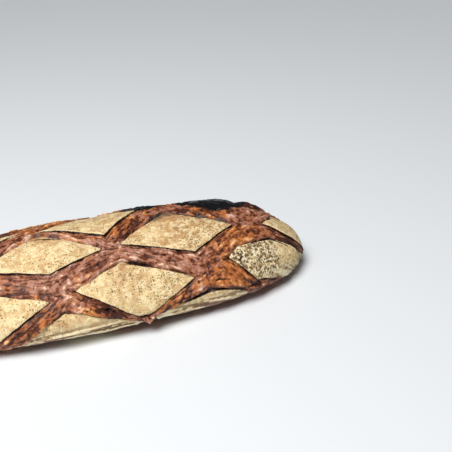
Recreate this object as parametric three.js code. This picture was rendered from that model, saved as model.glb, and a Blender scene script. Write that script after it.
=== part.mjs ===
// A scored sourdough loaf, baked as one piece: a long oval loaf with blunt ends and a flat base.
// Before baking its floured skin was slashed by two families of crossing cuts. In the oven the
// cuts tore open, so diamond plates of pale skin stand on a brown crust that swells between them.
// Millimetres. X runs along the loaf, Y across it and Z up, and the loaf rests on Z = 0.

import * as THREE from 'three';

// Driving dimensions of the body.
const LENGTH = 340;
const WIDTH = 128;
const HEIGHT = 64;
const TIP_HEIGHT = 16;
const SHOULDER_HEIGHT = 24;
const BASE_SPREAD = 4;

// Powers of the outlines: a larger power fills its corners more.
const PLAN_POWER = 2.3;
const PLAN_ROOT = 2.3;
const CROWN_LINE_POWER = 2.75;
const CROWN_LINE_ROOT = 1.9;
const KEEL_POWER = 6;
const UPPER_POWER = 1.75;
const LOWER_POWER = 2.4;

// Relief of the skin and the torn crust.
const PLATE_THICKNESS = 1.2;
const LIP_LIFT = 1.8;
const EAR_LIFT = 6;
const TUCK_DEPTH = 1;
const LIP_WIDTH = 6;
const CRUST_SWELL = 1.4;
const CRUST_RISE = 4;
const UNDERCUT_DEPTH = 2.2;
const UNDERCUT_WIDTH = 4;
const EDGE_SOFTNESS = 3;

// Where the relief dies away: by the flat base, and round the two tips.
const BASE_CLEAR = 1.5;
const BASE_BLEND = 18;
const TIP_BLEND = 36;

// Faceting of the surface, and the chords that measure a girth.
const RINGS = 60;
const COLUMNS = 72;
const GIRTH_CHORDS = 40;

// The plates of skin, each as its corners on the unrolled crust: [x, girth from the crown line],
// girth positive on the far side. Corners run left, near, right, far. Rows go from near to far.
const PLATES = [
  { corners: [[-170, -52], [-140, -90], [-108, -90], [-150, -64]] },
  { corners: [[-86, -92], [-43, -112], [0, -90], [-42, -69]] },
  { corners: [[30, -93], [62, -110], [98, -79], [74, -74]] },

  { corners: [[-140, -52], [-97, -78], [-52, -59], [-101, -37]] },
  { corners: [[-32, -55], [9, -83], [56, -61], [5, -40]] },
  { corners: [[90, -45], [108, -65], [145, -60], [174, -50], [174, -29], [129, -30]] },

  { corners: [[-174, -20], [-150, -38], [-113, -22], [-150, 0]] },
  { corners: [[-98, -20], [-48, -38], [-7, -25], [-52, 4]] },
  { corners: [[7, -23], [61, -41], [99, -17], [49, 9]] },
  { corners: [[128, -12], [146, -20], [166, -22], [174, -10], [173, 8], [152, 6]] },

  { corners: [[-148, 14], [-104, -4], [-62, 20], [-106, 44]] },
  { corners: [[-50, 10], [-3, -11], [36, 34], [0, 52]] },
  { corners: [[70, 36], [114, 17], [143, 15], [112, 46]], lift: EAR_LIFT },

  { corners: [[-174, 25], [-146, 28], [-116, 56], [-145, 68], [-174, 50]] },
  { corners: [[-98, 58], [-52, 34], [-8, 60], [-52, 84]] },
  { corners: [[14, 62], [50, 46], [98, 64], [54, 86]] },
  { corners: [[116, 58], [150, 31], [174, 27], [174, 50], [145, 68]] },

  { corners: [[-134, 86], [-106, 74], [-64, 96], [-104, 112]] },
  { corners: [[-42, 98], [0, 76], [44, 98], [0, 118]] },
  { corners: [[66, 97], [104, 76], [130, 86], [100, 110]] },
];

// The outlines at x: half width, crown line, shoulder line and keel line heights.
function outlines(x) {
  const q = Math.min(1, Math.abs(x) / (LENGTH / 2));
  const keel = Math.sqrt(1 - q ** KEEL_POWER);
  return {
    half: WIDTH / 2 * (1 - q ** PLAN_POWER) ** (1 / PLAN_ROOT),
    crown: TIP_HEIGHT + (HEIGHT - TIP_HEIGHT) * (1 - q ** CROWN_LINE_POWER) ** (1 / CROWN_LINE_ROOT),
    shoulder: TIP_HEIGHT + (SHOULDER_HEIGHT - TIP_HEIGHT) * (1 - q ** 2),
    keel: TIP_HEIGHT - (TIP_HEIGHT + BASE_SPREAD) * keel,
  };
}

// A point of the body. The turn is 0 at the crown, a quarter at the far shoulder and a half
// below, and the section is one superellipse above the shoulder and a fuller one below it,
// cut off flat where it would pass the surface that the loaf stands on.
function bodyPoint(x, turn) {
  const { half, crown, shoulder, keel } = outlines(x);
  const sine = Math.sin(turn);
  const cosine = Math.cos(turn);
  const power = 2 / (cosine > 0 ? UPPER_POWER : LOWER_POWER);
  const reach = cosine > 0 ? crown - shoulder : keel - shoulder;
  const y = half * Math.sign(sine) * Math.abs(sine) ** power;
  const z = shoulder + reach * Math.abs(cosine) ** power;
  return new THREE.Vector3(x, y, Math.max(0, z));
}

// Length along the section from the crown line to the turn, negative on the near side.
function girth(x, turn) {
  let length = 0;
  let last = bodyPoint(x, 0);
  for (let chord = 1; chord <= GIRTH_CHORDS; chord++) {
    const next = bodyPoint(x, turn * chord / GIRTH_CHORDS);
    length += next.distanceTo(last);
    last = next;
  }
  return Math.sign(turn) * length;
}

// How far a point lies inside a plate, from its near edges and from its far edges.
function insets(plate, x, s) {
  const inset = { near: Infinity, far: Infinity };
  plate.corners.forEach(([x0, s0], index) => {
    const [x1, s1] = plate.corners[(index + 1) % plate.corners.length];
    const distance = ((x1 - x0) * (s - s0) - (s1 - s0) * (x - x0)) / Math.hypot(x1 - x0, s1 - s0);
    const side = x1 > x0 ? 'near' : 'far';
    inset[side] = Math.min(inset[side], distance);
  });
  return inset;
}

// Height of the surface over the body. Each plate has a lifted lip along its near edges and is
// tucked under the crust along its far edges. The crust swells away from the plates, and a
// crease runs below each lip.
function relief(x, s) {
  let best = { depth: -Infinity };
  for (const plate of PLATES) {
    const { near, far } = insets(plate, x, s);
    const depth = Math.min(near, far);
    if (depth > best.depth) best = { depth, near, far, lift: plate.lift ?? LIP_LIFT };
  }
  const inside = Math.max(0, best.depth);
  const outside = Math.max(0, -best.depth);
  const lip = best.lift * Math.exp(-Math.max(0, best.near) / LIP_WIDTH);
  const tuck = TUCK_DEPTH * Math.exp(-Math.max(0, best.far) / LIP_WIDTH);
  const plate = PLATE_THICKNESS + lip - tuck;
  const below = best.near < best.far ? 1 : 0;
  const swell = CRUST_SWELL * (1 - Math.exp(-outside / CRUST_RISE));
  const crust = swell - below * UNDERCUT_DEPTH * Math.exp(-outside / UNDERCUT_WIDTH);
  const skin = THREE.MathUtils.smoothstep(inside - outside, -EDGE_SOFTNESS, EDGE_SOFTNESS);
  return THREE.MathUtils.lerp(crust, plate, skin);
}

// The outward direction of the body, square to its two tangents.
function outward(x, turn) {
  const step = 0.001;
  const latitude = Math.acos(THREE.MathUtils.clamp(x / (LENGTH / 2), -1, 1));
  const along = bodyPoint(LENGTH / 2 * Math.cos(latitude - step), turn)
    .sub(bodyPoint(LENGTH / 2 * Math.cos(latitude + step), turn));
  const around = bodyPoint(x, turn + step).sub(bodyPoint(x, turn - step));
  return around.cross(along).negate().normalize();
}

// The loaf's surface is a sphere with its poles at the two tips, drawn out to the body and
// then raised by the relief.
function loafGeometry() {
  const geometry = new THREE.SphereGeometry(1, COLUMNS, RINGS);
  geometry.rotateZ(-Math.PI / 2);
  const positions = geometry.attributes.position;
  const unit = new THREE.Vector3();
  for (let index = 0; index < positions.count; index++) {
    unit.fromBufferAttribute(positions, index);
    const x = LENGTH / 2 * THREE.MathUtils.clamp(unit.x, -1, 1);
    const turn = Math.atan2(unit.y, unit.z);
    const point = bodyPoint(x, turn);
    const clearOfBase = THREE.MathUtils.smoothstep(point.z, BASE_CLEAR, BASE_BLEND);
    const clearOfTips = THREE.MathUtils.smoothstep(outlines(x).half, 0, TIP_BLEND);
    const height = relief(x, girth(x, turn)) * clearOfBase * clearOfTips;
    if (height !== 0) point.addScaledVector(outward(x, turn), height);
    positions.setXYZ(index, point.x, point.y, point.z);
  }
  geometry.computeBoundingBox();
  const middle = geometry.boundingBox.getCenter(new THREE.Vector3());
  geometry.translate(-middle.x, -middle.y, 0);
  geometry.computeVertexNormals();
  return geometry;
}

const crust = new THREE.MeshStandardMaterial({ color: 0x96522f, roughness: 0.7, metalness: 0 });
const loaf = new THREE.Mesh(loafGeometry(), crust);
loaf.name = 'loaf';

const group = new THREE.Group();
group.add(loaf);
export default group;
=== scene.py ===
# A whole sourdough loaf, hand shaped, floured, slashed and baked on a stone. It is one baked piece,
# so it is one mesh, and it lies on a plain pale table.

import bpy
import numpy as np
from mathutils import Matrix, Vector


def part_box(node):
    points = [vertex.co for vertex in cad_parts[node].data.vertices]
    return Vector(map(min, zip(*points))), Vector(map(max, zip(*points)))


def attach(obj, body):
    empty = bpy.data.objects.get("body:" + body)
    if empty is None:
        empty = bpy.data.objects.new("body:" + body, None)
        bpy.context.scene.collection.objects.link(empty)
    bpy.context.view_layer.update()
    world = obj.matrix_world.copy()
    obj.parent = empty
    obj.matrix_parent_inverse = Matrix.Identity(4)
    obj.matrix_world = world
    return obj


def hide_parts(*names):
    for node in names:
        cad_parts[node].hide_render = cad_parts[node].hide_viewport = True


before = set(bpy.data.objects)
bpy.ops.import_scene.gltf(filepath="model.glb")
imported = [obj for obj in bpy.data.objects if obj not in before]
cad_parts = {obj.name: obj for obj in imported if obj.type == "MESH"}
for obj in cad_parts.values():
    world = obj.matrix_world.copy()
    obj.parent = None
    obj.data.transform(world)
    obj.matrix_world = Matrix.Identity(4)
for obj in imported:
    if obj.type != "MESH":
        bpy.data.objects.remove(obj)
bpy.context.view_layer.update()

# ------------------------------------------------------------------------------------------------
# The loaf's body
# Dough rolled up into a long oval with blunt ends. It spread a little on the stone as it baked, so
# its sides bulge over a flat base. It is worked out in millimetres and put in the mesh in metres.
# ------------------------------------------------------------------------------------------------

# The body is smaller than the loaf's box by what the skin and the crust add to it.
MM = 0.001
SKIN_ALLOWANCE = 2.0
box_low, box_high = (np.array(corner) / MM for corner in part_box("loaf"))
LENGTH = box_high[0] - box_low[0]
WIDTH = box_high[1] - box_low[1] - 2 * SKIN_ALLOWANCE
HEIGHT = box_high[2] - box_low[2] - SKIN_ALLOWANCE
TIP_HEIGHT = 16.0
SHOULDER_HEIGHT = 24.0
BASE_SPREAD = 4.0

# Powers of the outlines: a larger power fills its corners more.
PLAN_POWER = 2.3
CROWN_LINE_POWER = 2.75
CROWN_LINE_ROOT = 1.9
KEEL_POWER = 6
UPPER_POWER = 1.75
LOWER_POWER = 2.4


def outlines(x):
    """Half width, crown height, shoulder height and keel height at x. Each falls from its value at
    mid length to the tip by one minus the distance from mid length raised to a power."""
    q = np.minimum(np.abs(x) / (LENGTH / 2), 1)
    half = WIDTH / 2 * (1 - q**PLAN_POWER) ** (1 / PLAN_POWER)
    crown = TIP_HEIGHT + (HEIGHT - TIP_HEIGHT) * (1 - q**CROWN_LINE_POWER) ** (1 / CROWN_LINE_ROOT)
    shoulder = TIP_HEIGHT + (SHOULDER_HEIGHT - TIP_HEIGHT) * (1 - q**2)
    keel = TIP_HEIGHT - (TIP_HEIGHT + BASE_SPREAD) * np.sqrt(1 - q**KEEL_POWER)
    return half, crown, shoulder, keel


def body(latitude, turn):
    """The bare loaf. x is half the length times the cosine of the latitude. The section at x is a
    superellipse: y is the half width times a power of the sine of the turn, and z goes from the
    shoulder towards the crown, or the keel, by the same power of the cosine, and stops at 0."""
    x = LENGTH / 2 * np.cos(latitude)
    half, crown, shoulder, keel = outlines(x)
    sine, cosine = np.sin(turn), np.cos(turn)
    power = np.where(cosine > 0, 2 / UPPER_POWER, 2 / LOWER_POWER)
    y = half * np.sign(sine) * np.abs(sine) ** power
    z = shoulder + np.where(cosine > 0, crown - shoulder, keel - shoulder) * np.abs(cosine) ** power
    return np.stack([x, y, np.maximum(z, 0)], axis=-1)


def unit(vectors):
    """Each vector divided by its own length."""
    return vectors / np.maximum(np.linalg.norm(vectors, axis=-1, keepdims=True), 1e-9)


SMALL_TURN = 1e-3
RINGS = 800
COLUMNS = 500
latitude = np.linspace(0, np.pi, RINGS + 1)[1:-1, None]
turn = np.linspace(-np.pi, np.pi, COLUMNS, endpoint=False)[None, :]
latitude, turn = np.broadcast_arrays(latitude, turn)
bare = body(latitude, turn)

# The two tangents of the bare loaf, each the difference between two points a small turn apart, and
# the direction square to both, their cross product.
towards_right = body(latitude - SMALL_TURN, turn) - body(latitude + SMALL_TURN, turn)
towards_far = body(latitude, turn + SMALL_TURN) - body(latitude, turn - SMALL_TURN)
outward = unit(np.cross(towards_right, towards_far))

# The loaf unrolled: how far along it a point is, and how far round it from the crown line, which is
# the sum of the chords between them and is positive on the far side.
length = bare[..., 0]
height = bare[..., 2]
half_width = outlines(length)[0]
crown_column = COLUMNS // 2
chords = np.linalg.norm(np.diff(bare, axis=1), axis=-1)
girth = np.concatenate([np.zeros((len(bare), 1)), np.cumsum(chords, axis=1)], axis=1)
girth = girth - girth[:, crown_column : crown_column + 1]

# ------------------------------------------------------------------------------------------------
# The plates of skin
# The floured outer skin of the dough, left as flat diamonds between the crossing cuts. The blade
# was held at a slant, so each plate curls up along its near edges and is tucked down at its far
# ones, where it toasts and scorches.
# ------------------------------------------------------------------------------------------------

# Corners on the unrolled loaf, along it and round it, that run left, near, right, far. Then the
# curl of the near lip, how thickly the plate is speckled, and how far it is toasted. They go from
# the near side over the crown to the far side, and the plate at the right end takes two outlines.
PLATES = [
    ([(-170, -52), (-140, -90), (-108, -90), (-150, -64)], 1.3, 0.3, 0.1),
    ([(-86, -92), (-38, -114), (13, -91), (-42, -69)], 0.9, 0.1, 0.1),
    (
        [(22, -88), (30, -104), (62, -94), (100, -81), (98, -77.5), (84, -75.2), (68, -74.6)],
        0.7, 0.15, 0.0,
    ),
    ([(-140, -52), (-97, -78), (-52, -59), (-101, -37)], 1.3, 0.4, 0.3),
    ([(-32, -55), (8, -82), (19, -81.5), (56, -61), (4, -40.5)], 1.3, 0.55, 0.22),
    (
        [(87, -48), (108, -65.5), (145, -60), (174, -50), (174, -29), (129, -30), (98, -39.5)],
        1.1, 1.0, 0.0,
    ),
    ([(-174, -20), (-150, -38), (-113, -22), (-150, 0)], 1.3, 0.8, 0.1),
    ([(-98, -20), (-48, -38), (-7, -25), (-52, 4)], 1.4, 0.3, 0.4),
    ([(7, -23), (61, -41), (99, -17), (49, 9)], 1.4, 0.55, 0.9),
    ([(127, -13), (146, -20), (166, -22), (174, -10), (174, 14), (160, 11)], 1.2, 0.5, 0.1),
    (
        [(138, -17), (146, -20), (166, -22), (174, -10), (174, 15), (152, 19), (143, 2)],
        1.2, 0.5, 0.1,
    ),
    ([(-148, 14), (-104, -4), (-62, 20), (-106, 44)], 1.4, 0.5, 0.5),
    ([(-50, 12), (-3, -11), (36, 34), (-3, 57)], 1.4, 0.2, 0.8),
    ([(70, 36), (114, 17), (143, 15), (112, 46)], 1.2, 0.5, 0.6),
    ([(-174, 25), (-146, 28), (-116, 56), (-145, 68), (-174, 50)], 1.3, 0.7, 0.2),
    ([(-98, 58), (-52, 34), (-8, 60), (-52, 84)], 1.4, 0.4, 0.4),
    ([(14, 62), (50, 46), (98, 64), (54, 86)], 1.4, 0.4, 0.5),
    ([(116, 58), (150, 31), (174, 27), (174, 50), (145, 68)], 1.3, 0.7, 0.2),
    ([(-134, 86), (-106, 74), (-64, 96), (-104, 112)], 0.9, 0.3, 0.0),
    ([(-42, 98), (0, 76), (44, 98), (0, 118)], 0.9, 0.2, 0.0),
    ([(66, 97), (104, 76), (130, 86), (100, 110)], 0.9, 0.3, 0.1),
]
EDGE_FOOT = -0.6
EDGE_TOP = 0.25
PLATE_THICKNESS = 0.6
PLATE_SWELL = 0.5
LIP_WIDTH = 6
RIM_WIDTH = 1.4
TUCK_DEPTH = 1.1
TUCK_WIDTH = 4
WRINKLE_DEPTH = 0.3
BLISTER_HEIGHT = 0.22
TOAST_REACH = 19

# How the plates join in one field: a distance beyond every real one, and a weight next to none; the
# softness of the least of several gaps; what a gap costs more on its other side; how far a gap is
# followed; how wide the change is from one side to the other, and from tears that rise to tears that
# fall; and how far off a plate still counts for that.
FAR_AWAY = 1e3
NEXT_TO_NONE = 1e-9
GAP_SOFTNESS = 0.7
OTHER_SIDE = 9
GAP_LIMIT = 18
SIDE_BLEND = 1.5
TEAR_BLEND = 3
TEAR_REACH = 60


def grain(p, q, seed):
    """Gradient noise on the plane. Every whole-number corner has a random slope, and the heights
    that the four slopes round a point give there are blended by a smooth step each way. The slopes
    repeat every so many tiles, and the result goes from about -1 to 1."""
    tiles = 256
    lean = np.random.default_rng(seed).uniform(0, 2 * np.pi, (tiles, tiles))
    i, j = np.floor(p).astype(int), np.floor(q).astype(int)
    u, v = p - i, q - j

    def corner(di, dj):
        """The height here of the slope at one of the four corners."""
        angle = lean[(i + di) % tiles, (j + dj) % tiles]
        return np.cos(angle) * (u - di) + np.sin(angle) * (v - dj)

    fade_u = u * u * u * (u * (6 * u - 15) + 10)
    fade_v = v * v * v * (v * (6 * v - 15) + 10)
    lower = corner(0, 0) + fade_u * (corner(1, 0) - corner(0, 0))
    upper = corner(0, 1) + fade_u * (corner(1, 1) - corner(0, 1))
    return 1.5 * (lower + fade_v * (upper - lower))


def layered(p, q, seed, layers=3):
    """Gradient noise in layers, each twice as fine and half as strong as the one before."""
    return sum(grain(p * 2**n, q * 2**n, seed + n) / 2**n for n in range(layers)) / 1.5


def patches(size, seed):
    """Gradient noise on the unrolled loaf, in patches about size millimetres across."""
    return grain(length / size, girth / size, seed)


def ease(low_end, high_end, value):
    """0 below one end, 1 above the other, and the smooth cubic step between."""
    t = np.clip((value - low_end) / (high_end - low_end), 0, 1)
    return t * t * (3 - 2 * t)


def fade(distance, width):
    """1 at no distance, and less by the same share for each width: e to the power of minus the
    distance over the width."""
    return np.exp(-distance / width)


def bell(distance, width):
    """1 at no distance, falling off both ways: e to the power of minus the square of the distance
    over the width."""
    return np.exp(-((distance / width) ** 2))


def near_places(places):
    """1 at each of the places (along, round, width), falling off as a bell curve of that width."""
    closeness = np.zeros(length.shape)
    for x0, s0, spread in places:
        spot = np.exp(-((length - x0) ** 2 + (girth - s0) ** 2) / spread**2)
        closeness = np.maximum(closeness, spot)
    return closeness


def wandered(sway, shiver, seed):
    """The unrolled place of each point, moved by slow noise and by quick noise."""
    x = length + sway * patches(17, seed) + shiver * patches(3.5, seed + 1)
    s = girth + sway * patches(17, seed + 2) + shiver * patches(3.5, seed + 3)
    return x, s


cut_edge = wandered(sway=0.6, shiver=0.15, seed=11)
torn_edge = wandered(sway=0.9, shiver=0.4, seed=15)


def insets(corners):
    """How far each point lies inside a plate's near edges, its far edges, its edges that rise to the
    right and those that fall. For one edge it is the cross product of the edge and the way from its
    start to the point, over the edge's length. The least of a kind counts."""
    kinds = {kind: [np.full(length.shape, FAR_AWAY)] for kind in ("near", "far", "rising", "falling")}
    for (x0, s0), (x1, s1) in zip(corners, corners[1:] + corners[:1]):
        run, climb = x1 - x0, s1 - s0
        x, s = cut_edge if run > 0 else torn_edge
        inset = (run * (s - s0) - climb * (x - x0)) / np.hypot(run, climb)
        kinds["near" if run > 0 else "far"].append(inset)
        kinds["rising" if run * climb > 0 else "falling"].append(inset)
    return [np.minimum.reduce(found) for found in kinds.values()]


# Each point takes its values from the plate that it is deepest in or nearest to. Its gaps to the
# lips above it and to the tucked edges below it are soft leasts over all the plates: minus the
# softness times the logarithm of the sum, over the plates, of the fade over each one's gap.
depth = near = far = np.full(length.shape, -FAR_AWAY)
curl = speckle = toast = baked = rising = np.zeros(length.shape)
under_lips = over_tucks = weight = np.full(length.shape, NEXT_TO_NONE)
for corners, lift, speckled, toasted in PLATES:
    plate_near, plate_far, plate_rising, plate_falling = insets(corners)
    plate_depth = np.minimum(plate_near, plate_far)
    nearest = plate_depth > depth
    depth = np.where(nearest, plate_depth, depth)
    near = np.where(nearest, plate_near, near)
    far = np.where(nearest, plate_far, far)
    curl = np.where(nearest, lift, curl)
    speckle = np.where(nearest, speckled, speckle)
    baked = np.where(nearest, toasted, baked)
    far_x, far_s = max(corners, key=lambda corner: corner[1])
    from_far_corner = np.hypot(length - far_x, girth - far_s)
    plate_toast = (0.4 + 0.6 * toasted) * bell(from_far_corner, TOAST_REACH)
    toast = np.where(nearest, plate_toast, toast)
    gap = np.maximum(-plate_depth, 0)
    below = ease(-SIDE_BLEND, SIDE_BLEND, plate_far - plate_near)
    under_lips = under_lips + fade(gap + OTHER_SIDE * (1 - below), GAP_SOFTNESS)
    over_tucks = over_tucks + fade(gap + OTHER_SIDE * below, GAP_SOFTNESS)
    share = fade(np.minimum(gap, TEAR_REACH), TEAR_BLEND)
    weight = weight + share
    rising = rising + share * ease(-TEAR_BLEND, TEAR_BLEND, plate_falling - plate_rising)
rising = rising / weight
below_gap = np.clip(-GAP_SOFTNESS * np.log(under_lips), 0, GAP_LIMIT)
above_gap = np.clip(-GAP_SOFTNESS * np.log(over_tucks), 0, GAP_LIMIT)

# The plate's height over the body: its thickness and swell, the curled lip with its sharper rim,
# less the tuck, with a few thin wrinkles and small blisters. Here and below, length and girth are
# divided by how long and how wide the patches of the noise are, in millimetres.
skin = ease(EDGE_FOOT, EDGE_TOP, depth)
inside_near = np.maximum(near, 0)
inside_far = np.maximum(far, 0)
ragged = 1 + 0.3 * patches(8, seed=21) + 0.12 * patches(3, seed=22)
swell = PLATE_SWELL * layered(length / 26, girth / 20, seed=23)
lip = curl * ragged * (0.7 * fade(inside_near, LIP_WIDTH) + 0.3 * fade(inside_near, RIM_WIDTH))
plate_height = PLATE_THICKNESS + swell + lip - TUCK_DEPTH * fade(inside_far, TUCK_WIDTH)
wrinkle = 1 - ease(0, 0.1, np.abs(grain(length / 34 + girth / 50, girth / 11, seed=24)))
plate_height -= WRINKLE_DEPTH * wrinkle * ease(-0.2, 0.3, patches(25, seed=25))
plate_height += BLISTER_HEIGHT * layered(length / 3.2, girth / 3.2, seed=26)

# Greyish scorched places at the plates' tips, and places with more speckles and with fewer: along,
# round, how wide.
SCORCHES = [
    (43, 3, 6), (50, 6, 7), (38, -1, 4), (75, -6, 4), (91, -12, 3.5), (129, -33, 3), (62, -74.5, 3),
    (69, -72.5, 3), (76, -72.8, 2.5), (114, -37, 2.5), (-3, 56, 6), (-52, 4, 4), (-106, 44, 6),
]
MORE_SPECKLED = [(97, -52, 13), (116, -46, 12), (80, -20, 16), (60, -30, 12), (40, -60, 14)]
LESS_SPECKLED = [(4, -71, 14), (-20, -58, 13), (40, -12, 12), (142, -37, 9)]
scorch = near_places(SCORCHES)
speckle = speckle * (0.78 + 0.45 * near_places(MORE_SPECKLED))
speckle = speckle * (1 - 0.7 * near_places(LESS_SPECKLED))

# ------------------------------------------------------------------------------------------------
# The torn crust
# Inside the cuts the dough tore open in the oven and set hard and glossy: long ropes of torn
# crumb with stretched pits and blisters, swelling up past the tucked edges of the plates.
# ------------------------------------------------------------------------------------------------

# Cracks and rolled folds that stand out one by one: places on a line, along and round, with the
# crack's depth or the fold's height there.
CRACKS = [
    [(6, -41, 0.8), (12, -43, 3.2), (20, -46, 3.2), (28, -49.5, 0.8)],
    [(104, -39, 0.8), (116, -34, 1.6), (129, -29.5, 2.0), (145, -32.5, 1.6)],
    [(44, -81.5, 1.0), (57, -77, 3.0), (68, -73, 3.6), (84, -73.8, 2.0), (104, -76.8, 1.2)],
    [(76, -48.5, 0.6), (82, -50.5, 1.6), (88, -50, 1.0)],
    [(8, -83.5, 1.0), (14, -83.6, 1.6), (20, -83, 1.0)],
    [(10, -86, 1.0), (13, -90.5, 1.8), (16.5, -94.5, 1.4), (19.5, -90, 1.6), (21.5, -86, 1.0)],
    [(29, -7, 1.0), (36, -1, 2.2), (43, 5, 2.4), (47, 9, 1.4)],
    [(55, 7, 1.0), (66, -0.5, 2.0), (73, -5, 2.6), (82, -8.5, 1.2)],
    [(86, -7, 0.6), (98, -5.5, 1.2), (109, -2, 0.6)],
    [(9, -17.5, 0.8), (16, -13.5, 1.6), (26, -8, 0.8)],
    [(7, -31, 0.6), (16, -35.5, 1.4), (26, -40.5, 0.6)],
    [(30, -50, 0.8), (40, -54, 1.2), (52, -59, 0.8)],
    [(68, -67, 0.6), (75, -65.5, 1.8), (82, -66.5, 0.6)],
    [(97, -73, 0.8), (103, -72, 1.6), (109, -71, 1.2)],
    [(134, -22, 0.8), (146, -26, 1.8), (158, -31, 2.6)],
    [(-18, -72, 0.6), (-12, -74.5, 2.6), (-5, -78, 0.6)],
    [
        (92.5, -46, 1.5), (96.5, -45.5, 1.7), (98, -48.5, 1.7),
        (95.5, -52, 1.7), (93, -49.5, 1.7), (92.5, -46, 1.5),
    ],
    [(70, 0, 0.6), (75, -1.5, 2.4), (79, -2, 0.6)],
    [(84, 5, 0.6), (92, 3, 2.0), (101, 3, 0.8)],
    [(60, 5, 0.6), (66, 3, 2.0), (72, 2.5, 0.6)],
    [(34, -82, 0.6), (42, -78.5, 1.6), (50, -75, 0.6)],
    [(-22, -43, 1.0), (-10, -37.5, 1.6), (0, -35, 0.6)],
    [(-20, -38, 0.6), (-8, -32.5, 1.4), (3, -29.5, 0.6)],
    [(30, -43, 0.6), (40, -46.5, 1.4), (50, -50, 0.6)],
    [(-108, 48, 0.8), (-98, 40, 2.6), (-84, 31, 0.8)],
    [(-60, 0, 0.8), (-44, -4, 2.4), (-30, -10, 0.8)],
    [(-104, -34, 0.6), (-92, -38, 2.0), (-76, -43, 0.6)],
    [(2, 55, 0.8), (14, 48, 2.4), (26, 42, 0.8)],
    [(60, 84, 0.8), (76, 76, 2.2), (92, 68, 0.8)],
]
FOLDS = [
    [(2, -38.5, 0.4), (12, -40, 1.8), (20, -42.5, 1.8), (30, -47, 0.4)],
    [(46, -76.5, 0.4), (58, -71.5, 0.5), (70, -68.8, 0.5), (88, -70, 0.9), (106, -74, 0.6)],
    [(74, -47.5, 0.3), (80, -48, 1.2), (88, -44.5, 0.6)],
    [(8, -20, 0.3), (17, -16.5, 1.3), (27, -11, 1.0), (32, -8, 0.3)],
    [(-20, -47.5, 0.5), (-8, -42.5, 1.3), (2, -38.5, 0.5)],
    [(60, 4, 0.4), (74, -1, 1.0), (92, -3, 1.0), (112, 3, 0.4)],
    [(100, -36.5, 0.4), (114, -31, 1.3), (128, -26.5, 1.0)],
    [(-110, 52, 0.4), (-98, 44, 1.6), (-82, 34, 0.4)],
    [(-62, 4, 0.4), (-44, 0, 1.6), (-28, -6, 0.4)],
    [(0, 59, 0.4), (14, 52, 1.5), (28, 45, 0.4)],
    [(10.5, -86, 0.8), (14, -88.5, 2.4), (17, -90.5, 2.4), (19.5, -87, 2.0), (17.5, -85.5, 0.8)],
]
CRACK_WIDTH = 0.55
CRACK_WIDENING = 0.22
FOLD_WIDTH = 1.5

# Deep holes; places where the crust's lit tone is orange, and places where it shows a mauve painted
# reflection of the pale sky; and places where it is darker: along, round, how wide.
HOLLOWS = [
    (75, -1, 3.0), (92, 3, 3.5), (66, 3, 3.0), (22, 3, 2.0), (38, 15, 3.0), (111, -70, 2.4),
    (-12, -74, 2.2), (103, 1, 2.5), (3, -17, 1.6), (156, -31, 4.5), (30, -74, 1.6), (58, -66, 1.6),
    (-40, 78, 3), (48, 54, 3),
]
ORANGE = [
    (86, -62, 20), (100, -34, 15), (36, -76, 16), (12, -5, 10), (86, 0, 14), (-16, -73, 14),
    (-60, 40, 24), (-110, -10, 20), (20, 60, 20), (110, 66, 20), (-60, -72, 16), (-20, 92, 20),
]
SKY_SHEEN_PLACES = [
    (63, -48, 14), (20, -36, 15), (44, -46, 12), (-8, -32, 13), (112, -10, 12), (132, 8, 14),
    (54, 14, 12), (-50, -46, 16), (-120, 20, 20), (0, 70, 20), (-80, 10, 14), (78, 44, 20),
    (-150, -60, 20), (136, -66, 12), (152, -60, 10), (150, -24, 12), (16, -88, 7),
]
DARKENED = [
    (150, -27, 15), (158, -23, 12), (24, -1, 6), (108, -68, 8), (90, 6, 14), (66, 6, 8),
    (-10, -77, 11), (12, -16, 6), (-78, 28, 14), (54, 38, 14), (-20, 66, 16), (110, 72, 16),
    (-150, 10, 16), (-70, -64, 14),
]

# The angles of the tears on the unrolled loaf, and how far the crust stands over the body.
RISING_TEAR = 36
FALLING_TEAR = -20
ARCH_FOOT = 0.6
ARCH_RISE = 1.2
ARCH_WIDTH = 4.5
PIT_DEPTH = 1.3
UNDERCUT_DEPTH = 3.2
UNDERCUT_WIDTH = 1.6
SEAM_DEPTH = 1.8
SEAM_WIDTH = 0.7
ROLL_HEIGHT = 0.8
ROLL_PLACE = 2.4
ROLL_WIDTH = 1.4
HOLLOW_DEPTH = 1.4


def follow(line):
    """The nearest place on a line of points (along, round, value). For each stretch the nearest part
    of it is found by dropping a square on it. Returns the gap to the line, how far to its far side
    the place lies, and the line's value there."""
    best_gap = np.full(length.shape, FAR_AWAY)
    best_side = np.zeros(length.shape)
    best_value = np.zeros(length.shape)
    for (x0, s0, value0), (x1, s1, value1) in zip(line, line[1:]):
        run, climb = x1 - x0, s1 - s0
        part = np.clip(((length - x0) * run + (girth - s0) * climb) / (run**2 + climb**2), 0, 1)
        aside_x, aside_s = length - x0 - part * run, girth - s0 - part * climb
        gap = np.hypot(aside_x, aside_s)
        closer = gap < best_gap
        best_gap = np.where(closer, gap, best_gap)
        best_side = np.where(closer, aside_s, best_side)
        best_value = np.where(closer, value0 + part * (value1 - value0), best_value)
    return best_gap, best_side, best_value


def torn(angle, seed):
    """Soft ropes of torn crumb that run at an angle, in degrees, on the unrolled loaf: the place
    is turned to along and across the tear, and noise is stretched along it."""
    run = length * np.cos(np.radians(angle)) + girth * np.sin(np.radians(angle))
    across = girth * np.cos(np.radians(angle)) - length * np.sin(np.radians(angle))
    bend = 1.6 * grain(run / 20, across / 12, seed)
    return layered(run / 15, (across + bend) / 6.0, seed + 3)


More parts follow.
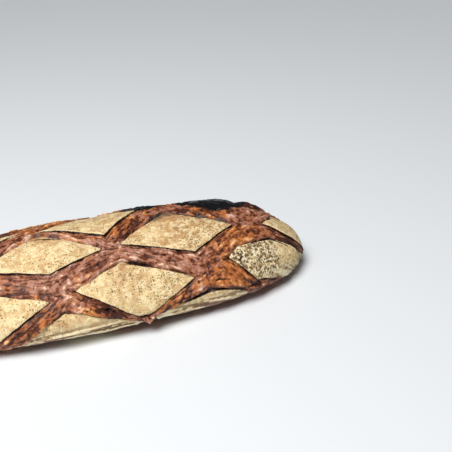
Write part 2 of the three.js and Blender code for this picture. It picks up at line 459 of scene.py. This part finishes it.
# Ropes along the tear, strands that follow the lip above them, and rounder crumb where the tear is
# widest. Their sum is a height in millimetres, and each one's factor is how far it stands out.
ropes = rising * torn(RISING_TEAR, seed=31) + (1 - rising) * torn(FALLING_TEAR, seed=61)
across_tear = below_gap + 1.2 * grain(length / 15, girth / 9, seed=71)
strands = layered(length / 9, across_tear / 2.6, seed=72)
fibres = layered(length / 4, across_tear / 1.5, seed=76, layers=2)
crumb = layered(length / 4.2, girth / 3.8, seed=80)
blisters = np.abs(layered(length / 3.4, girth / 3.0, seed=120, layers=2))
open_crumb = ease(5, 9, np.minimum(below_gap, above_gap + 2))
rope = 0.9 * ropes + (1 - 0.7 * open_crumb) * (1.5 * strands + 0.3 * fibres)
rope = rope + 0.8 * open_crumb * crumb + blisters - 0.3

patchy = ease(-0.35, 0.3, patches(16, seed=91))
stretched_holes = ease(0.3, 0.55, layered(length / 6.5, across_tear / 1.8, seed=84, layers=2))
round_holes = ease(0.36, 0.6, layered(length / 3.4, girth / 2.8, seed=88, layers=2))
pits = np.maximum(stretched_holes, round_holes) * (0.2 + 0.8 * patchy)

# A crack's section, and a fold's, is a bell curve of the gap to its line. Deeper cracks are wider.
crack = np.zeros(length.shape)
for line in CRACKS:
    gap, _, deep = follow(line)
    gap = gap + 0.35 * patches(3, seed=94)
    crack = np.maximum(crack, deep * bell(gap, CRACK_WIDTH + CRACK_WIDENING * deep))
fold = np.zeros(length.shape)
for line in FOLDS:
    gap, _, tall = follow(line)
    fold = np.maximum(fold, tall * bell(gap, FOLD_WIDTH))

# The crust arches away from the plates. It is undercut below a lip, and along a tucked edge it has
# a seam and then a roll.
outside = np.maximum(-depth, 0)
arch = ARCH_FOOT + ARCH_RISE * (1 - fade(outside, ARCH_WIDTH))
undercut = fade(below_gap, UNDERCUT_WIDTH)
tucked = ease(-0.6, 0.3, patches(16, seed=92))
seam = bell(above_gap, SEAM_WIDTH) * (0.25 + 0.6 * tucked)
rolled = bell(above_gap - ROLL_PLACE, ROLL_WIDTH) * (0.6 + 0.5 * patches(14, seed=93))
crust_height = arch + rope - PIT_DEPTH * pits - UNDERCUT_DEPTH * undercut - SEAM_DEPTH * seam
crust_height = crust_height + ROLL_HEIGHT * rolled - crack + fold

hollow = near_places(HOLLOWS)
darkened = near_places(DARKENED)
warmth = near_places(ORANGE) - near_places(SKY_SHEEN_PLACES)

# ------------------------------------------------------------------------------------------------
# The burnt ear
# Over the crown, on the far side of the longest tear, a thick rim of crust curled up towards the
# oven's roof and charred. It rises in two humps and ends in a step.
# ------------------------------------------------------------------------------------------------

# Each rim as places on a line, along and round, with its height there. Then how far it is charred,
# and how far the char reaches down its near face for each millimetre of its height.
EARS = [
    (
        [
            (12, 46, 0.3), (20, 42, 1.0), (28, 38, 1.8), (35, 34, 2.2),
            (42, 31, 1.8), (48, 30, 0.8), (54, 30, 0.3),
        ],
        1.0, 3.0,
    ),
    (
        [(60, 31, 0.4), (72, 28, 1.6), (84, 24, 3.6), (96, 21, 4.8), (106, 19, 4.4), (113, 17.5, 1.8)],
        1.0, 3.4,
    ),
    (
        [
            (113, 17.5, 1.8), (118, 16.5, 3.2), (124, 15.5, 4.2),
            (134, 14.5, 3.4), (141, 13.5, 2.4), (142.5, 13, 0.4),
        ],
        0.44, 1.4,
    ),
]
NEAR_FACE_FOOT = 2.6
NEAR_FACE_SLOPE = 0.7
FAR_FACE_WIDTH = 7
NEAR_CHAR_FOOT = 1.5
FAR_CHAR_REACH = 4
CHAR_FADE = 3
# Where a painted sheen lies down the near face, and how wide it is.
SHEEN_PLACE = 2.4
SHEEN_WIDTH = 2.2
SMOOTHED_UNDER_EAR = 0.6

ear = np.zeros(length.shape)
char = np.zeros(length.shape)
char_sheen = np.zeros(length.shape)
for line, burning, reach in EARS:
    gap, side, tall = follow(line)
    gap = gap + 0.4 * patches(10, seed=101)
    near_face = bell(np.maximum(gap, 0), NEAR_FACE_FOOT + NEAR_FACE_SLOPE * tall)
    far_face = fade(np.maximum(gap, 0), FAR_FACE_WIDTH)
    ear = np.maximum(ear, tall * np.where(side < 0, near_face, far_face))
    burnt_to = np.where(side < 0, NEAR_CHAR_FOOT + reach * tall, FAR_CHAR_REACH)
    charred = fade(np.maximum(gap - burnt_to, 0), CHAR_FADE)
    char = np.maximum(char, burning * ease(0.3, 1.6, tall) * charred)
    # A painted sheen in a band down the near face.
    down_near_face = np.where(side < 0, gap, -gap)
    sheen_band = bell(down_near_face - SHEEN_PLACE, SHEEN_WIDTH)
    char_sheen = np.maximum(char_sheen, burning * ease(0.8, 3.0, tall) * sheen_band)
ear = ear * (1 + 0.1 * patches(14, seed=102))
crust_height += (arch - crust_height) * SMOOTHED_UNDER_EAR * ease(0.6, 2.6, ear)

# ------------------------------------------------------------------------------------------------
# The low sides
# Near the stone the floured skin was dragged into long folds as the dough spread, and it is stained
# purple in places.
# ------------------------------------------------------------------------------------------------

# The skirt of folds: its top and where it is full, where it starts over the stone, and the half
# widths of the loaf between which it fades in from the tips. Then stains along the line of one low
# tear, and at places: along, round, how wide.
SKIRT_TOP = 26
SKIRT_FULL = 14
SKIRT_FOOT = 0.3
SKIRT_FOOT_FULL = 3
SKIRT_NARROW = 22
SKIRT_WIDE = 46
SKIRT_FOLD_DEPTH = 2.2
STAINED_EDGE = [(64, -90, 0), (76, -89.5, 0), (92, -87, 0), (108, -82, 0)]
STAINS = [(-60, -106, 20), (70, 104, 24), (-90, 112, 24)]
STAIN_WIDTH = 5

skirt = ease(SKIRT_TOP, SKIRT_FULL, height) * ease(SKIRT_FOOT, SKIRT_FOOT_FULL, height)
skirt = skirt * ease(SKIRT_NARROW, SKIRT_WIDE, half_width)
folded = layered(length / 38, girth / 3.4, seed=111, layers=2)
gap, _, _ = follow(STAINED_EDGE)
stain = near_places(STAINS) + bell(gap, STAIN_WIDTH)

# ------------------------------------------------------------------------------------------------
# The loaf's one mesh
# Rings from tip to tip joined by four-sided faces, closed by a fan of triangles at each tip, and
# then thinned where it is smooth so that the torn edges keep their fineness.
# ------------------------------------------------------------------------------------------------

# The relief dies away by the flat base and towards the tips. Hand shaping left the body uneven, with
# two shallow dents: along, round, how wide.
BASE_CLEAR = 1
BASE_BLEND = 16
TIP_BLEND = 30
TIP_CLOSE = 6
RIGHT_DENT = (151, 8, 14)
RIGHT_DENT_DEPTH = 2.4
CROWN_DENT = (-14, 26, 28)
CROWN_DENT_DEPTH = 1.6
LIP_OVERHANG = 1.2
OVERHANG_WIDTH = 1.8
EAR_OVERHANG = 0.3
TRIANGLES = 195_000

clear_of_base = ease(BASE_CLEAR, BASE_BLEND, height)
clear_of_tips = ease(0, TIP_BLEND, half_width)
torn_height = crust_height - HOLLOW_DEPTH * hollow
relief = torn_height + skin * (plate_height - torn_height) + ear + SKIRT_FOLD_DEPTH * skirt * folded
relief = relief * clear_of_base * (0.25 + 0.75 * clear_of_tips) * ease(0, TIP_CLOSE, half_width)
uneven = grain(length / 75 + 3, girth / 60 + 7, seed=95) * ease(2, 24, height) * clear_of_tips
uneven -= near_places([RIGHT_DENT]) * RIGHT_DENT_DEPTH + near_places([CROWN_DENT]) * CROWN_DENT_DEPTH
surface = bare + outward * (relief + uneven)[..., None]

overhang = LIP_OVERHANG * curl * ragged * skin * fade(inside_near, OVERHANG_WIDTH) + EAR_OVERHANG * ear
surface += unit(-towards_far) * (overhang * clear_of_base * clear_of_tips)[..., None]

rows, columns = length.shape
tips = [[LENGTH / 2, 0, TIP_HEIGHT], [-LENGTH / 2, 0, TIP_HEIGHT]]
points = np.concatenate([surface.reshape(-1, 3), tips])
index = np.arange(rows * columns).reshape(rows, columns)
right = np.roll(index, -1, axis=1)
quads = np.stack([index[:-1], right[:-1], right[1:], index[1:]], axis=-1).reshape(-1, 4)
right_tip, left_tip = rows * columns, rows * columns + 1
right_fan = np.stack([right[0], index[0], np.full(columns, right_tip)], axis=-1)
left_fan = np.stack([index[-1], right[-1], np.full(columns, left_tip)], axis=-1)
fans = np.concatenate([right_fan, left_fan])

mesh = bpy.data.meshes.new("loaf_crust")
mesh.vertices.add(len(points))
mesh.vertices.foreach_set("co", (points * MM).astype(np.float32).ravel())
mesh.loops.add(quads.size + fans.size)
mesh.loops.foreach_set("vertex_index", np.concatenate([quads.ravel(), fans.ravel()]).astype(np.int32))
starts = np.concatenate([np.arange(len(quads)) * 4, quads.size + np.arange(len(fans)) * 3])
mesh.polygons.add(len(starts))
mesh.polygons.foreach_set("loop_start", starts.astype(np.int32))
mesh.update(calc_edges=True)
mesh.validate()

# What the finish needs to know at each point, kept on the mesh.
INSET_LIMIT = 20
FIELDS = {
    "inset": np.clip(depth, -INSET_LIMIT, INSET_LIMIT),
    "near_inset": np.clip(near, -INSET_LIMIT, INSET_LIMIT),
    "rope": rope,
    "pits": pits,
    "below_gap": below_gap,
    "seam": seam,
    "crack": crack,
    "fold": fold,
    "warmth": warmth,
    "skirt": skirt,
    "stain": stain,
    "hollow": hollow,
    "darkened": darkened,
    "folded": folded,
    "along": length,
    "across": across_tear,
    "speckle": speckle,
    "toast": toast,
    "baked": baked,
    "char": char,
    "char_sheen": char_sheen,
    "scorch": scorch,
    "height": height,
}
for name, amounts in FIELDS.items():
    values = np.concatenate([amounts.ravel(), [amounts[0].mean(), amounts[-1].mean()]])
    mesh.attributes.new(name, "FLOAT", "POINT").data.foreach_set("value", values.astype(np.float32))

loaf = bpy.data.objects.new("loaf_crust", mesh)
bpy.context.collection.objects.link(loaf)
thin = loaf.modifiers.new("thin", "DECIMATE")
thin.ratio = min(1.0, TRIANGLES / (2 * len(quads) + len(fans)))
with bpy.context.temp_override(object=loaf, active_object=loaf, selected_objects=[loaf]):
    bpy.ops.object.modifier_apply(modifier=thin.name)
mesh = loaf.data
mesh.shade_smooth()

# ------------------------------------------------------------------------------------------------
# The loaf's finish
# Matt flour baked on to pale skin, speckled with dark bubbles; toasted patches; red-brown torn crust with
# a slight gloss and with painted light and shade on its relief; burnt edges with a painted sheen; and a
# brown base dusted with flour, with painted shade at its foot.
# ------------------------------------------------------------------------------------------------

crust = bpy.data.materials.new("crust")
crust.use_nodes = True
tree = crust.node_tree
tree.nodes.clear()


def node(kind, settings=None, **inputs):
    """Adds a node, sets its own settings, and sets or links its inputs: Base_Color is the input
    named Base Color, and _0 is the first one."""
    new = tree.nodes.new(kind)
    for name, value in (settings or {}).items():
        setattr(new, name, value)
    for name, value in inputs.items():
        socket = new.inputs[int(name[1:])] if name[0] == "_" else new.inputs[name.replace("_", " ")]
        if isinstance(value, bpy.types.NodeSocket):
            tree.links.new(value, socket)
        else:
            socket.default_value = value
    return new


def field(name):
    """One of the values kept on the mesh."""
    return node("ShaderNodeAttribute", {"attribute_name": name}).outputs["Fac"]


def sum_of(a, b):
    """a plus b."""
    return node("ShaderNodeMath", {"operation": "ADD"}, _0=a, _1=b).outputs[0]


def product(a, b):
    """a times b."""
    return node("ShaderNodeMath", {"operation": "MULTIPLY"}, _0=a, _1=b).outputs[0]


def step(value, start, end):
    """0 at the start, 1 at the end, smooth between and clamped outside."""
    settings = {"interpolation_type": "SMOOTHSTEP", "clamp": True}
    ramp = node("ShaderNodeMapRange", settings, Value=value, From_Min=start, From_Max=end)
    return ramp.outputs[0]


def painted(under, over, share, strength=None):
    """The colour under, mixed towards the colour over by the share, times the strength if any."""
    share = share if strength is None else product(share, strength)
    settings = {"data_type": "RGBA", "clamp_factor": True}
    return node("ShaderNodeMix", settings, _0=share, _6=under, _7=over).outputs[2]


def between(share, low_value, high_value):
    """The low value where the share is 0, the high value where it is 1, and a mix between."""
    settings = {"data_type": "FLOAT"}
    return node("ShaderNodeMix", settings, _0=share, _2=low_value, _3=high_value).outputs[0]


# Every pattern but the fibres is laid out on the piece's own coordinates.
place = node("ShaderNodeTexCoord").outputs["Object"]


def mottle(size, detail=2.0, rough=0.5):
    """Noise whose patches are about size millimetres across, from 0 to 1."""
    settings = {"noise_dimensions": "3D"}
    scale = 1 / (size * MM)
    noise = node("ShaderNodeTexNoise", settings, Vector=place, Scale=scale, Detail=detail, Roughness=rough)
    return noise.outputs["Fac"]


def blotches(size, start, end, detail=2.0, rough=0.5):
    """Blotches about size millimetres across: 0 where the mottle is at the start, 1 at the end."""
    return step(mottle(size, detail, rough), start, end)


def sway(strength, size, detail=2.0, rough=0.5):
    """The mottle less a half, times the strength, so that it goes as far below zero as above."""
    return product(sum_of(mottle(size, detail, rough), -0.5), strength)


def dots(size, share):
    """Round dots in a share of the cells, each about size millimetres across, that fill the skin. A
    dot is full within a quarter of a cell of its middle, and gone at about four tenths."""
    cell = node("ShaderNodeTexVoronoi", {"feature": "F1"}, Vector=place, Scale=1 / (size * MM))
    pick = node("ShaderNodeSeparateColor", _0=cell.outputs["Color"]).outputs[0]
    chosen = step(sum_of(pick, share), 0.98, 1.02)
    return product(step(cell.outputs["Distance"], 0.42, 0.26), chosen)


# Skin: flour baked to cream, in pale and tan blotches, toasted near some corners.
FLOUR = (0.68, 0.49, 0.24, 1)
PALE_FLOUR = (0.89, 0.745, 0.455, 1)
TAN = (0.50, 0.285, 0.115, 1)
TOASTED = (0.43, 0.20, 0.078, 1)
skin_mask = step(field("inset"), 0.05, 0.3)
tanned = sum_of(product(field("baked"), 0.95), 0.12)
flour = painted(FLOUR, TAN, blotches(17, 0.37, 0.57, detail=4.0), tanned)
flour = painted(flour, PALE_FLOUR, blotches(6.0, 0.46, 0.56, detail=5.0, rough=0.7), 0.7)
flour = painted(flour, PALE_FLOUR, blotches(2.4, 0.50, 0.60, detail=3.0, rough=0.7), 0.45)
flour = painted(flour, TAN, blotches(1.8, 0.53, 0.62, detail=3.0, rough=0.7), 0.5)
toasting = sum_of(field("toast"), sway(2.4, 8, detail=4.0))
flour = painted(flour, TOASTED, step(toasting, 0.15, 0.85), 0.78)

# Dark bubbles in clusters. Where they are thickest they join in a net, with powdery flour, dashes
# and a few large spots between them.
SPECK = (0.13, 0.078, 0.030, 1)
POWDER = (0.90, 0.80, 0.56, 1)
NET_SIZE = 3.4
speckled = field("speckle")
thickest = step(speckled, 0.6, 0.95)
clustered = sum_of(speckled, sum_of(sway(1.6, 9), sway(1.6, 34)))
bubbles = dots(1.75, product(clustered, 0.8))
flour = painted(flour, SPECK, bubbles, 0.85)
flour = painted(flour, SPECK, dots(1.2, product(clustered, 1.05)), 0.7)
cells = node(
    "ShaderNodeTexVoronoi",
    {"feature": "DISTANCE_TO_EDGE"},
    Vector=place,
    Scale=1 / (NET_SIZE * MM),
)
broken = blotches(5.0, 0.48, 0.54, detail=4.0, rough=0.7)
net = product(step(cells.outputs["Distance"], 0.17, 0.05), broken)
flour = painted(flour, SPECK, net, product(thickest, 0.85))
powdered = product(thickest, blotches(3.0, 0.46, 0.56, detail=3.0, rough=0.6))
flour = painted(flour, POWDER, powdered, 0.75)
dashes = product(blotches(2.5, 0.55, 0.59), thickest)
flour = painted(flour, SPECK, dashes, 0.85)
flour = painted(flour, SPECK, dots(3.2, product(speckled, thickest)), 0.9)

# The near rims are paler. The skirt has painted shade, brown, in the hollows of its folds, and powdery
# flour with a painted highlight on their ridges.
FOLD_SHADE = (0.16, 0.08, 0.045, 1)
near_rim = step(field("near_inset"), 1.1, 0.4)
flour = painted(flour, PALE_FLOUR, near_rim, product(blotches(7, 0.35, 0.6), 0.6))
# Painted shade in the hollows of the skirt's folds.
furrow_shade = step(sum_of(field("folded"), sway(1.2, 4)), 0.02, -0.16)
flour = painted(flour, FOLD_SHADE, product(field("skirt"), furrow_shade), 0.85)
# Powdery flour and a painted highlight on the ridges of the folds.
ridge_highlight = step(sum_of(field("folded"), sway(1.0, 4)), 0.0, 0.2)
flour = painted(flour, POWDER, product(field("skirt"), ridge_highlight), 0.9)

# Torn crust, with light and shade painted to follow its relief: painted shade, dark and purplish, in its
# grooves and under the lips; a lit tone on its rises, orange in some places and in others a mauve painted
# reflection of the sky; painted highlights, pale and gold, on its crests; and fibres that run along the
# tear.
RECESS_SHADE = (0.018, 0.005, 0.004, 1)
SHADED_PURPLE_CRUST = (0.068, 0.019, 0.011, 1)
RED_CRUST = (0.25, 0.072, 0.024, 1)
LIT_ORANGE_CRUST = (0.50, 0.165, 0.042, 1)
GOLD_CREST_HIGHLIGHT = (0.84, 0.44, 0.19, 1)
MAUVE_SKY_SHEEN = (0.42, 0.195, 0.13, 1)
PALE_CREST_HIGHLIGHT = (0.86, 0.57, 0.42, 1)
FIBRE_LENGTH = 5.5
FIBRE_WIDTH = 1.25
tear_place = node(
    "ShaderNodeCombineXYZ",
    _0=product(field("along"), 1 / FIBRE_LENGTH),
    _1=product(field("across"), 1 / FIBRE_WIDTH),
).outputs[0]
fibre_noise = node(
    "ShaderNodeTexNoise",
    {"noise_dimensions": "2D"},
    Vector=tear_place,
    Scale=1.0,
    Detail=3.0,
    Roughness=0.6,
)
fibre = sum_of(fibre_noise.outputs["Fac"], -0.5)
# The height of the crust's relief, with fibres, noise, darker places and folds, which sets where the
# painted shade and highlights fall.
tone_and_shading = sum_of(product(field("rope"), 1.1), product(fibre, 2.0))
tone_and_shading = sum_of(tone_and_shading, sway(2.0, 3.2, detail=4.0, rough=0.62))
tone_and_shading = sum_of(tone_and_shading, product(field("darkened"), -1.0))
tone_and_shading = sum_of(tone_and_shading, product(field("fold"), 0.35))
# Warmth: orange places against places with the painted mauve reflection of the sky.
warm = sum_of(product(field("warmth"), 0.85), sway(4.6, 8, detail=5.0, rough=0.6))
# Painted shade: purple where the relief is low.
torn_crust = painted(SHADED_PURPLE_CRUST, RED_CRUST, step(tone_and_shading, -0.95, -0.25))
# The lit tone: orange, and a mauve painted reflection of the sky where the warmth is low.
lit = painted(MAUVE_SKY_SHEEN, LIT_ORANGE_CRUST, step(warm, -0.25, 0.35))
torn_crust = painted(torn_crust, lit, step(tone_and_shading, -0.5, 0.2), 0.95)
# Painted highlights, pale and gold, on the crests.
crest_highlight = painted(PALE_CREST_HIGHLIGHT, GOLD_CREST_HIGHLIGHT, step(warm, -0.25, 0.5))
torn_crust = painted(torn_crust, crest_highlight, step(tone_and_shading, 0.35, 1.0), 0.95)
# Painted shade, near black, in the pits and holes, under the lips and along the seams.
torn_crust = painted(torn_crust, RECESS_SHADE, step(field("pits"), 0.2, 0.8), 0.85)
torn_crust = painted(torn_crust, RECESS_SHADE, step(field("hollow"), 0.3, 0.8), 0.9)
torn_crust = painted(torn_crust, SHADED_PURPLE_CRUST, step(field("below_gap"), 5.0, 0.5), 0.7)
torn_crust = painted(torn_crust, RECESS_SHADE, step(field("below_gap"), 1.5, 0.5))
torn_crust = painted(torn_crust, RECESS_SHADE, field("seam"), 0.75)

# Over both: purple stains low on the sides, painted shade in the cracks, and scorched tips.
FOLD_PURPLE = (0.25, 0.13, 0.10, 1)
SCORCH = (0.085, 0.062, 0.048, 1)
colour = painted(torn_crust, flour, skin_mask)
stained = sum_of(field("stain"), sway(1.4, 5, detail=4.0))
colour = painted(colour, FOLD_PURPLE, step(stained, 0.3, 0.65), 0.85)
colour = painted(colour, RECESS_SHADE, step(field("crack"), 0.5, 1.3), 0.95)
scorched = sum_of(field("scorch"), sway(1.2, 3, detail=3.0))
colour = painted(colour, SCORCH, step(scorched, 0.35, 0.8), 0.7)

# The ear's char, brown at its border, with a painted sheen, blue-grey, on its near face.
CHAR = (0.005, 0.005, 0.006, 1)
CHAR_BROWN = (0.048, 0.015, 0.008, 1)
CHAR_SHEEN = (0.125, 0.135, 0.152, 1)
burnt = sum_of(field("char"), sway(0.9, 6, detail=3.0))
char_mask = step(burnt, 0.45, 0.75)
colour = painted(colour, CHAR_BROWN, step(burnt, 0.15, 0.5))
colour = painted(colour, CHAR, char_mask)
sheen_mask = step(sum_of(field("char_sheen"), sway(2.6, 8, detail=3.0)), 0.45, 1.1)
colour = painted(colour, CHAR_SHEEN, product(sheen_mask, char_mask), 0.75)

# The foot of the sides, a baked brown darkened further as painted shade where it meets the table, and the
# paler underside.
SHADED_BASE_BROWN = (0.045, 0.022, 0.012, 1)
UNDERSIDE_BROWN = (0.15, 0.075, 0.036, 1)
shaded_foot = painted(SHADED_BASE_BROWN, TAN, blotches(9, 0.5, 0.7, detail=4.0), 0.3)
colour = painted(colour, shaded_foot, step(field("height"), 3.0, 0.8))
underside = painted(UNDERSIDE_BROWN, TAN, blotches(7, 0.46, 0.62, detail=4.0), 0.5)
colour = painted(colour, underside, step(field("height"), 0.8, 0.2))

# Gloss, and the grain too fine for the mesh.
TORN_ROUGHNESS = 0.44
FLOUR_ROUGHNESS = 0.9
CHAR_ROUGHNESS = 0.42
DRY_SPECULAR = 0.3
GRAIN_DEPTH = 0.6
GRAIN_STRENGTH = 0.7
roughness = between(char_mask, between(skin_mask, TORN_ROUGHNESS, FLOUR_ROUGHNESS), CHAR_ROUGHNESS)
torn_mask = node("ShaderNodeMath", {"operation": "SUBTRACT"}, _0=1.0, _1=skin_mask).outputs[0]
fine = sum_of(product(mottle(1.0, 3.0), 0.3), product(mottle(2.4, 5.0, 0.65), 0.8))
fine = sum_of(fine, product(product(fibre, torn_mask), 1.1))
fine = sum_of(fine, product(product(bubbles, skin_mask), -0.25))
bump = node("ShaderNodeBump", Strength=GRAIN_STRENGTH, Distance=GRAIN_DEPTH * MM, Height=fine)
shader = node(
    "ShaderNodeBsdfPrincipled",
    Base_Color=colour,
    Roughness=roughness,
    Normal=bump.outputs[0],
    Specular_IOR_Level=DRY_SPECULAR,
)
node("ShaderNodeOutputMaterial", Surface=shader.outputs[0])
mesh.materials.append(crust)

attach(loaf, "root")
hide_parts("loaf")

# ------------------------------------------------------------------------------------------------
# The table
# A plain pale sheet, much larger than the loaf, that shows only the loaf's soft shadow.
# ------------------------------------------------------------------------------------------------

TABLE_REACH = 6.0
TABLE_COLOUR = (0.76, 0.79, 0.822, 1)
TABLE_ROUGHNESS = 0.6
quarters = [(-1, -1), (1, -1), (1, 1), (-1, 1)]
table_corners = [(x * TABLE_REACH, y * TABLE_REACH, 0) for x, y in quarters]
table_mesh = bpy.data.meshes.new("table")
table_mesh.from_pydata(table_corners, [], [(0, 1, 2, 3)])
table = bpy.data.objects.new("table", table_mesh)
bpy.context.collection.objects.link(table)
sheet = bpy.data.materials.new("table_sheet")
sheet.use_nodes = True
sheet_shader = sheet.node_tree.nodes["Principled BSDF"]
sheet_shader.inputs["Base Color"].default_value = TABLE_COLOUR
sheet_shader.inputs["Roughness"].default_value = TABLE_ROUGHNESS
table_mesh.materials.append(sheet)

# ------------------------------------------------------------------------------------------------
# The light
# A broad soft light from high at the front left, a weaker soft lamp over the loaf, and a dim sky
# that looks pale.
# ------------------------------------------------------------------------------------------------

DAYLIGHT = (1.0, 0.99, 0.97)
WINDOW_PLACE = (-0.85, -0.75, 2.2)
WINDOW_STRENGTH = 2.05
WINDOW_SPREAD = 28
LAMP_PLACE = (-0.42, -0.38, 0.98)
LAMP_AIM = (-0.05, -0.05, 0)
LAMP_POWER = 8.6
LAMP_SIZE = 0.5
SKY_LIGHT = 0.08
SKY_LIGHT_COLOUR = (0.88, 0.94, 1.0, 1)
SKY_LOOK = 0.7
SKY_LOOK_COLOUR = (0.94, 0.96, 0.98, 1)


def lamp(name, kind, stand, aim, energy):
    """A lamp of a kind at its stand, turned to face its aim."""
    data = bpy.data.lights.new(name, kind)
    data.energy = energy
    data.color = DAYLIGHT
    light = bpy.data.objects.new(name, data)
    light.location = stand
    light.rotation_euler = (Vector(aim) - Vector(stand)).to_track_quat("-Z", "Y").to_euler()
    bpy.context.collection.objects.link(light)
    return data


window_light = lamp("window_light", "SUN", WINDOW_PLACE, (0, 0, 0), WINDOW_STRENGTH)
window_light.angle = np.radians(WINDOW_SPREAD)
top_lamp = lamp("top_lamp", "AREA", LAMP_PLACE, LAMP_AIM, LAMP_POWER)
top_lamp.shape = "SQUARE"
top_lamp.size = LAMP_SIZE

sky = bpy.data.worlds.new("sky")
sky.use_nodes = True
sky_nodes = sky.node_tree.nodes
dim_sky = sky_nodes["Background"]
dim_sky.inputs["Color"].default_value = SKY_LIGHT_COLOUR
dim_sky.inputs["Strength"].default_value = SKY_LIGHT
pale_sky = sky_nodes.new("ShaderNodeBackground")
pale_sky.inputs["Color"].default_value = SKY_LOOK_COLOUR
pale_sky.inputs["Strength"].default_value = SKY_LOOK
looked_at = sky_nodes.new("ShaderNodeLightPath")
either = sky_nodes.new("ShaderNodeMixShader")
sky.node_tree.links.new(looked_at.outputs["Is Camera Ray"], either.inputs[0])
sky.node_tree.links.new(dim_sky.outputs[0], either.inputs[1])
sky.node_tree.links.new(pale_sky.outputs[0], either.inputs[2])
sky.node_tree.links.new(either.outputs[0], sky_nodes["World Output"].inputs["Surface"])
bpy.context.scene.world = sky

# ------------------------------------------------------------------------------------------------
# The camera
# It stands at the near left and looks down at the loaf's right half.
# ------------------------------------------------------------------------------------------------

BEARING = np.radians(-20)
TILT = np.radians(30)
DISTANCE = 0.6
AIM = Vector((0.1272, 0.0722, 0))
SENSOR_WIDTH = 36
LENS = 47.8
back = Vector((np.sin(BEARING) * np.cos(TILT), -np.cos(BEARING) * np.cos(TILT), np.sin(TILT)))
camera_data = bpy.data.cameras.new("camera")
camera_data.sensor_width = SENSOR_WIDTH
camera_data.lens = LENS
camera = bpy.data.objects.new("camera", camera_data)
camera.location = AIM + back * DISTANCE
camera.rotation_euler = (-back).to_track_quat("-Z", "Y").to_euler()
bpy.context.collection.objects.link(camera)
bpy.context.scene.camera = camera
bpy.context.scene.view_settings.view_transform = "Standard"
